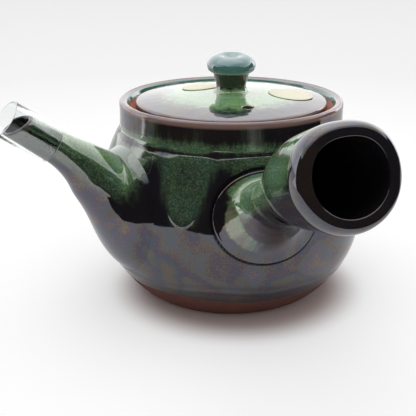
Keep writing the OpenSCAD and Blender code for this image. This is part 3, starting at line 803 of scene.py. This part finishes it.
# A fan of green on the left of the flared root
fan = 7 * (np.cos(angle - math.radians(200)) - 0.78)
fan += -14 * smoothstep(0.86, 1.0, share) - 20 * smoothstep(0.75, 0.65, share)
under_edge = (ring >= HANDLE_OUTER + 3) & (ring <= HANDLE_OUTER + 6)
# Painted light on the handle, more on its flared root: a paler green and whiter reflections; under the root's edge,
# a painted shadow line
set_numbers(handle, np.where(outside, np.maximum(10 * (np.sin(angle) - limit), fan), OFF),
            0.6 * smoothstep(0.7, 0.85, share) * smoothstep(-1, 2, fan) * outside,
            0.38 + 0.19 * smoothstep(0.6, 0.9, share),
            np.c_[14 * np.cos(angle), 14 * np.sin(angle), 9 * share], root_shadow=np.where(under_edge, 2.0, OFF))

# %% [markdown]
# ## Two glazes on red stoneware
# The lustre glaze is a dark glass with a skin of metal oxides, so it mirrors more than window glass does, and its
# reflections carry faint blue, rose and straw tints. The green glaze is full of small crystals that show as
# yellow-green specks. On sharp edges both pull thin and the red-brown body shows through. One material holds all
# of it and mixes by the numbers on the mesh, because on the real pot the glazes melt into each other too.

# %% Colours and patterns
def colour(code):
    """Linear colour of an sRGB hex value."""
    parts = [int(code[i:i + 2], 16) / 255 for i in (1, 3, 5)]
    return tuple(c / 12.92 if c <= 0.04045 else ((c + 0.055) / 1.055) ** 2.4 for c in parts) + (1.0,)


def ramp(tree, share, stops):
    """Colours by a share from 0 to 1, from stops of (place, hex value)."""
    made = put(tree, "ShaderNodeValToRGB", {0: share})
    marks = made.color_ramp.elements
    marks.remove(marks[1])
    marks[0].position, marks[0].color = stops[0][0], colour(stops[0][1])
    for spot, code in stops[1:]:
        marks.new(spot).color = colour(code)
    return made.outputs[0]


def blend(tree, share, first, second):
    """A mix of two colours; a hex value is turned into a colour."""
    first, second = (colour(c) if isinstance(c, str) else c for c in (first, second))
    return put(tree, "ShaderNodeMix", {0: share, 6: first, 7: second}, data_type="RGBA").outputs[2]


def between(tree, share, first, second):
    """A mix of two numbers."""
    return out(tree, "ShaderNodeMix", {0: share, 2: first, 3: second})


def ranged(tree, value, start, end, low=0.0, high=1.0, smooth=False):
    """The value carried from start..end to low..high and held there."""
    limits = {"Value": value, "From Min": start, "From Max": end, "To Min": low, "To Max": high}
    kind = "SMOOTHSTEP" if smooth else "LINEAR"
    return put(tree, "ShaderNodeMapRange", limits, interpolation_type=kind).outputs[0]


def noise(tree, where, size, detail, **more):
    """Soft noise with features of a size in metres."""
    inputs = {"Vector": where, "Scale": 1 / size, "Detail": detail, **more}
    return put(tree, "ShaderNodeTexNoise", inputs).outputs["Fac"]


def relief(tree, height, strength, depth, **more):
    """A Bump node's normal, for a relief of a depth in metres."""
    return put(tree, "ShaderNodeBump",
               {"Height": height, "Strength": strength, "Distance": depth, **more}).outputs[0]


def number(tree, key):
    """A number that the mesh carries at each point."""
    return put(tree, "ShaderNodeAttribute", {}, attribute_name=key).outputs["Fac"]


def new_material(name):
    """A material, its node tree, its main shader and Object coordinates."""
    material = bpy.data.materials.new(name)
    material.use_nodes = True
    tree = material.node_tree
    return material, tree, tree.nodes["Principled BSDF"], put(tree, "ShaderNodeTexCoord", {}).outputs["Object"]


# %% Glaze material
def glazed_stoneware():
    material, tree, shader, spot = new_material("two_glazes_on_red_stoneware")
    green_mm, clay_mm, thin, lit_or_teal, root_shadow_mm = (
        number(tree, key) for key in ("green", "clay", "thin", "lit_or_teal", "root_shadow"))
    flow = put(tree, "ShaderNodeAttribute", {}, attribute_name="flow").outputs["Vector"]
    # Streaks about 3 mm wide feather the green's edge along the flow
    shift = ranged(tree, noise(tree, flow, 3 * MM, 3.0, Roughness=0.6), 0.25, 0.75, -1.8, 1.8)
    is_green = ranged(tree, calc(tree, "ADD", green_mm, shift), -1.8, 3.0, smooth=True)
    # Crystals: cells of 0.45 mm, coarser than the real ones so that they show
    cells = put(tree, "ShaderNodeTexVoronoi", {"Vector": spot, "Scale": 1 / (0.45 * MM)})
    pick = out(tree, "ShaderNodeSeparateColor", {0: cells.outputs["Color"]})
    specks = ranged(tree, pick, 0.35, 1.0, 0, 0.7)
    # Clouds of 9 mm between bottle green and teal, in a shaded copy and a paler lit copy: painted light mixes them,
    # and above 1 the number turns the green teal
    cloud = noise(tree, spot, 9 * MM, 4.0)
    shaded_green = ramp(tree, cloud, [(0.3, "#202b24"), (0.5, "#2b3c2e"), (0.72, "#243f3a")])
    lit_green = ramp(tree, cloud, [(0.3, "#5f8d62"), (0.5, "#739d69"), (0.72, "#69a08f")])
    green_by_light = blend(tree, lit_or_teal, blend(tree, specks, shaded_green, "#56674a"), blend(tree, specks, lit_green, "#a6c488"))
    green = blend(tree, ranged(tree, lit_or_teal, 1.0, 2.0), green_by_light, "#2e726c")
    # Lustre: nearly black glass under tinted reflections; the tints change over about 20 mm, with a fine grain
    drift = noise(tree, spot, 20 * MM, 2.0, Distortion=0.5)
    film = calc(tree, "MULTIPLY_ADD", noise(tree, spot, 0.6 * MM, 1.0), 0.32, drift)
    tint = ramp(tree, film, [
        (0.42, "#e6dccf"), (0.50, "#e0cfb6"), (0.545, "#d0b6c6"), (0.585, "#adb4dc"), (0.62, "#b4c8cc"),
        (0.66, "#ccbaa0"), (0.70, "#b9a0af"), (0.745, "#959ec6"), (0.79, "#9fb2bb"), (0.85, "#c6b8aa")])
    # The green mirrors the room in plain white, and where painted light lies the reflections are painted a milkier,
    # rosy white
    lit_top = ranged(tree, lit_or_teal, 0.5, 0.85, 0, 0.8)
    green_or_lit_top = calc(tree, "MAXIMUM", lit_top, is_green)
    sheen = blend(tree, green_or_lit_top, tint, blend(tree, lit_top, "#f6faf6", "#e4d8e4"))
    lustre = ramp(tree, film, [(0.45, "#141214"), (0.65, "#19171b"), (0.8, "#211b18")])
    # Thin glaze on edges breaks to the body's brown
    broken = blend(tree, thin, blend(tree, is_green, lustre, green), "#846961")
    # Bare clay: fine red-brown grit of 0.5 mm; on the ledge it gets painted light, a lighter and warmer red than on
    # the foot
    grit = noise(tree, spot, 0.5 * MM, 2.0)
    bare = ramp(tree, grit, [(0.3, "#492b25"), (0.55, "#603a31"), (0.75, "#74483c")])
    is_clay = ranged(tree, clay_mm, -0.4, 0.4, smooth=True)
    base = blend(tree, is_clay, broken, blend(tree, thin, bare, "#a45a42"))
    # Painted shadow: along the handle's root the colour is black and reflects little
    in_root_shadow = ranged(tree, root_shadow_mm, -0.35, 0.35, smooth=True)
    base = blend(tree, in_root_shadow, base, "#0e0c0c")
    rough = between(tree, is_clay, ranged(tree, thin, 0, 1, 0.05, 0.13), 0.8)
    level = between(tree, in_root_shadow, ranged(tree, is_clay, 0, 1, 0.5, 0.12), 0.06)
    # Glaze ripples of 5 mm and grit on the bare clay
    uneven = between(tree, is_clay, noise(tree, spot, 5 * MM, 1.0), grit)
    bump = relief(tree, uneven, 0.12, 0.6 * MM)
    # The green glaze ends in a step of 0.1 mm, except where the painted light number is high
    bead = ranged(tree, green_mm, -0.3, 0.8, smooth=True)
    swell = calc(tree, "MULTIPLY", bead, ranged(tree, lit_or_teal, 0, 1, 1.0, 0.0))
    bump = relief(tree, swell, 1.0, 0.1 * MM, Normal=bump)
    feed(tree, shader, {"Base Color": base, "Roughness": rough, "IOR": 2.5, "Specular IOR Level": level,
                        "Specular Tint": sheen, "Normal": bump})
    return material


glaze = glazed_stoneware()

# %% [markdown]
# ## Steel, paper and vinyl
# The strainer is pressed stainless sheet, so it is a metal with fine scratches. Paper is matt with short fibres.
# Soft vinyl is clear and glossy, a little cloudy, and bends light about as window glass does.

# %% Small materials
def pressed_steel():
    material, tree, shader, spot = new_material("pressed_stainless_steel")
    # Scratches 0.3 mm wide and 4 mm long
    stretch = {"Vector": spot, "Scale": (1 / (0.3 * MM), 1 / (4 * MM), 1 / (0.3 * MM))}
    scratch = noise(tree, put(tree, "ShaderNodeMapping", stretch).outputs[0], 1.0, 3.0)
    shade = ramp(tree, scratch, [(0.3, "#b3b5b6"), (0.7, "#d2d3d2")])
    rough = ranged(tree, scratch, 0, 1, 0.2, 0.42)
    feed(tree, shader, {"Base Color": shade, "Roughness": rough, "Metallic": 1.0})
    return material


def label_paper():
    material, tree, shader, spot = new_material("coated_label_paper")
    # Fibres of 0.8 mm in a warm white
    fibre = noise(tree, spot, 0.8 * MM, 5.0, Distortion=1.0)
    shade = ramp(tree, fibre, [(0.3, "#e6e0c2"), (0.7, "#eeebd6")])
    bump = relief(tree, fibre, 0.2, 0.1 * MM)
    feed(tree, shader, {"Base Color": shade, "Normal": bump, "Roughness": 0.55})
    return material


def clear_vinyl():
    material, tree, shader, spot = new_material("clear_soft_vinyl")
    cloud = noise(tree, spot, 4 * MM, 2.0)
    shade = ramp(tree, cloud, [(0.3, "#f7fbfb"), (0.7, "#fdfefe")])
    bump = relief(tree, cloud, 0.08, 0.5 * MM)
    # The knife leaves the two ends frosted, so they scatter light and show as white rings
    frost = number(tree, "cut_end")
    dull = calc(tree, "MULTIPLY_ADD", frost, 0.4, ranged(tree, cloud, 0, 1, 0.02, 0.08))
    clear = ranged(tree, frost, 0, 1, 1.0, 0.2)
    feed(tree, shader, {"Base Color": shade, "Roughness": dull, "Transmission Weight": clear, "Normal": bump,
                        "IOR": 1.5})
    return material


# %% [markdown]
# ## Dress the solids
# Each new piece stands for one solid, rides on that solid's body and gets the material listed with its slot.
# A loop keeps the table of pieces in one place.

# %% Ride, replace and finish
steel, paper, vinyl = pressed_steel(), label_paper(), clear_vinyl()
DRESS = [
    ("pot", "pot_glaze", glaze, {"bowl": bowl, "spout": spout, "handle": handle}),
    ("lid", "lid_glaze", glaze, {"lid": lid, "lid_knob": knob}),
    ("lid", "label_paper", paper, {"round_label": round_label, "oval_label": oval_label}),
    ("sleeve", "clear_vinyl", vinyl, {"spout_sleeve": sleeve}),
    ("pot", "steel", steel, {"strainer_ring": strainer_ring, "strainer_mesh": strainer_mesh}),
]
for body, slot, material, pieces in DRESS:
    for node, piece in pieces.items():
        piece.data.materials.clear()
        piece.data.materials.append(material)
        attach(piece, body)
        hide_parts(node)
    print("on", body, "in", slot, "-", ", ".join(pieces))
bpy.data.materials.remove(stand_in)

# %% [markdown]
# ## Studio
# A glossy pot shows its room, so the room matters more than the lamps. White walls and a bright ceiling surround
# it, and behind the camera it is dark, which gives the black reflections on the front. The world does this by
# direction, and the camera itself sees plain white. The white table ends a hand's width before the camera. It glows
# for the camera, mirrors and clear things alone, so the pot gets no more light, and not where the shadow lies.

# %% Camera
# The camera was fitted to the photo, whose sides and focal length are given in pixels
EYE, AHEAD = Vector((-0.08282, -0.30910, 0.14786)), Vector((0.2166, 0.9142, -0.3425))
FOCAL_PX, PHOTO_PX, SENSOR = 799.59, 416, 36.0


def aim(thing, way):
    thing.rotation_euler = way.to_track_quat("-Z", "Y").to_euler()


lens = bpy.data.cameras.new("camera")
lens.sensor_width, lens.lens = SENSOR, FOCAL_PX / PHOTO_PX * SENSOR
lens.clip_start, lens.clip_end = 0.01, 20.0
camera = new_object("camera", lens)
camera.location = EYE
aim(camera, AHEAD)
bpy.context.scene.camera = camera

# %% Table
# Angles are to the right of the camera, seen from the pot, and distances are in metres
DARK_LEFT, DARK_RIGHT, TABLE_RIGHT, FRONT_EDGE, BACK_EDGE = -95.0, 130.0, 95.0, 0.24, 4.0
towards = Vector((EYE.x, EYE.y, 0)).normalized()
across = Vector((-towards.y, towards.x, 0))
# Middle of the painted shadow on the table, a little towards the camera from the pot's axis
SHADOW_MIDDLE = tuple(towards * 0.008 + across * 0.003)


def on_table(turn, reach):
    a = math.radians(turn)
    return tuple((towards * math.cos(a) + across * math.sin(a)) * reach)


rim = [on_table(a, FRONT_EDGE) for a in np.linspace(DARK_LEFT, TABLE_RIGHT, 46)]
rim += [on_table(a, BACK_EDGE) for a in np.linspace(TABLE_RIGHT, DARK_LEFT + 360, 24)]
table_mesh = bpy.data.meshes.new("table")
table_mesh.from_pydata([(0, 0, 0)] + rim, [], [(0, i, i % len(rim) + 1) for i in range(1, len(rim) + 1)])
table = new_object("table", table_mesh)


def vector(tree, operation, first, second, output):
    return put(tree, "ShaderNodeVectorMath", {0: first, 1: second}, operation=operation).outputs[output]


def white_table():
    material, tree, shader, spot = new_material("white_table")
    material.cycles.emission_sampling = "NONE"
    # Painted shadow round the foot: the table there gets no glow and a darker red-grey colour
    away = vector(tree, "DISTANCE", spot, SHADOW_MIDDLE, "Value")
    past_painted_shadow = ranged(tree, away, 0.036, 0.056, smooth=True)
    # Painted light: the glow is stronger near the pot than far from it
    painted_glow = calc(tree, "MULTIPLY", past_painted_shadow, ranged(tree, away, 0.12, 0.5, 0.37, 0.22))
    path = put(tree, "ShaderNodeLightPath", {}).outputs
    seen = calc(tree, "MAXIMUM", path["Is Camera Ray"], path["Is Glossy Ray"])
    seen = calc(tree, "MAXIMUM", seen, path["Is Transmission Ray"])
    feed(tree, shader, {
        "Base Color": blend(tree, past_painted_shadow, "#c0b0ac", "#dadada"), "Roughness": 0.9,
        "Emission Color": colour("#ffffff"), "Emission Strength": calc(tree, "MULTIPLY", painted_glow, seen)})
    return material


table_mesh.materials.append(white_table())

# %% Room
DARK_LIGHT, WALL_FRONT, WALL_BACK, PLAIN_FILL, PLAIN_SEEN = 0.012, 0.25, 2.0, 0.82, 0.93
EDGE_SOFT, DARK_TOP = 0.06, 0.78


def build_room():
    world = bpy.data.worlds.new("studio")
    bpy.context.scene.world = world
    world.use_nodes = True
    tree = world.node_tree
    tree.nodes.clear()
    way = put(tree, "ShaderNodeTexCoord", {}).outputs["Generated"]
    facing = vector(tree, "DOT_PRODUCT", way, tuple(towards), "Value")
    aside = vector(tree, "DOT_PRODUCT", way, tuple(across), "Value")
    turn = calc(tree, "ARCTAN2", aside, facing)
    height = put(tree, "ShaderNodeSeparateXYZ", {0: way}).outputs["Z"]
    sides = ranged(tree, calc(tree, "ABSOLUTE", turn), 0.7, 1.35, 0, 0.33, smooth=True)
    height = calc(tree, "ADD", height, sides)
    left, right = math.radians(DARK_LEFT), math.radians(DARK_RIGHT)
    sectors = []
    # The dark opening, and a wider one: between the two lies the brightly lit edge of the white walls
    for spread, top in ((EDGE_SOFT, 0.83), (0.45, 0.97)):
        after = ranged(tree, turn, left - spread, left + EDGE_SOFT, smooth=True)
        before = ranged(tree, turn, right + spread, right - EDGE_SOFT, smooth=True)
        under = ranged(tree, height, top, DARK_TOP, smooth=True)
        sectors.append(calc(tree, "MULTIPLY", calc(tree, "MULTIPLY", after, before), under))
    dark, wide = sectors
    wall = ranged(tree, facing, 0.6, -0.8, WALL_FRONT, WALL_BACK)
    bright = calc(tree, "MULTIPLY_ADD", calc(tree, "SUBTRACT", wide, dark), wall, wall)
    path = put(tree, "ShaderNodeLightPath", {}).outputs
    level = between(tree, path["Is Camera Ray"], PLAIN_FILL, PLAIN_SEEN)
    level = between(tree, path["Is Transmission Ray"], level, PLAIN_SEEN)
    room, plain = (out(tree, "ShaderNodeBackground", {"Color": colour("#ffffff"), "Strength": strength})
                   for strength in (between(tree, dark, bright, DARK_LIGHT), level))
    # Mirrors see the room, also through the clear sleeve; all other rays see plain white
    bounced = calc(tree, "GREATER_THAN", path["Glossy Depth"], 0.5)
    through = calc(tree, "MULTIPLY", path["Is Transmission Ray"], bounced)
    mirrored = calc(tree, "MAXIMUM", path["Is Glossy Ray"], through)
    mixed = out(tree, "ShaderNodeMixShader", {0: mirrored, 1: plain, 2: room})
    put(tree, "ShaderNodeOutputWorld", {"Surface": mixed})


build_room()

# %% Lamp
soft = bpy.data.lights.new("overhead_softbox", "AREA")
soft.shape, soft.size, soft.size_y, soft.energy = "RECTANGLE", 1.1, 0.9, 1.8
softbox = new_object("overhead_softbox", soft)
softbox.location = (-0.1, 0.15, 0.95)
aim(softbox, Vector((0, 0, 0.05)) - softbox.location)
bpy.context.scene.view_settings.view_transform = "Standard"
